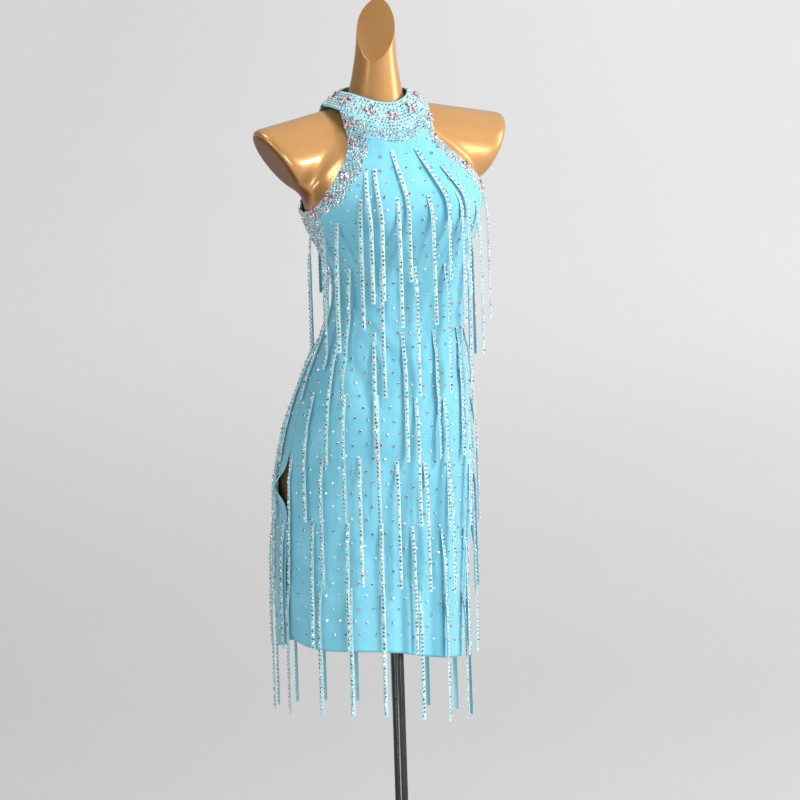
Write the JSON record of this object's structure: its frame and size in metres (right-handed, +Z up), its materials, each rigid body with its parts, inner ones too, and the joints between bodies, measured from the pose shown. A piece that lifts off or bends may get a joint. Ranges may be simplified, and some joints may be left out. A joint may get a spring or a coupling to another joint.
{
  "type": "latin dance dress on a limbless dress form",
  "caption": "Halter-neck latin dance dress with tiers of crystal-set fringe strips, worn by a limbless gold dress form on a round-based stand.",
  "frame": {"origin": "middle of the underside of the stand's round base plate, where the stand meets the floor", "axes": "+Z up along the pole, the dress faces -Y, and its wearer's right side is at -X"},
  "size_m": [0.4429, 0.34, 1.6365],
  "materials": {
    "dress_jersey": "aqua stretch jersey with a soft satin sheen",
    "band_jersey": "aqua stretch jersey covered with small crystals",
    "fringe_jersey": "narrow strips of the same jersey with a row of crystals each",
    "gold_lacquer": "gold lacquer, smooth and glossy",
    "pole_steel": "polished dark steel",
    "base_steel": "fine brushed steel"
  },
  "bodies": {
    "root": {"dress_front": "dress_jersey", "dress_back": "dress_jersey", "neckband": "band_jersey", "fringe_1_front": "fringe_jersey", "fringe_1_back": "fringe_jersey", "fringe_2_front": "fringe_jersey", "fringe_2_back": "fringe_jersey", "fringe_3_front": "fringe_jersey", "fringe_3_back": "fringe_jersey", "fringe_4_front": "fringe_jersey", "fringe_4_back": "fringe_jersey", "fringe_5_front": "fringe_jersey", "fringe_5_back": "fringe_jersey", "fringe_6_front": "fringe_jersey", "fringe_6_back": "fringe_jersey", "fringe_7_front": "fringe_jersey", "fringe_7_back": "fringe_jersey", "fringe_8_front": "fringe_jersey", "fringe_8_back": "fringe_jersey", "form_torso": "gold_lacquer", "form_flange": "pole_steel", "stand_pole": "pole_steel", "stand_hub": "pole_steel", "stand_base": "base_steel"}
  },
  "joints": []
}
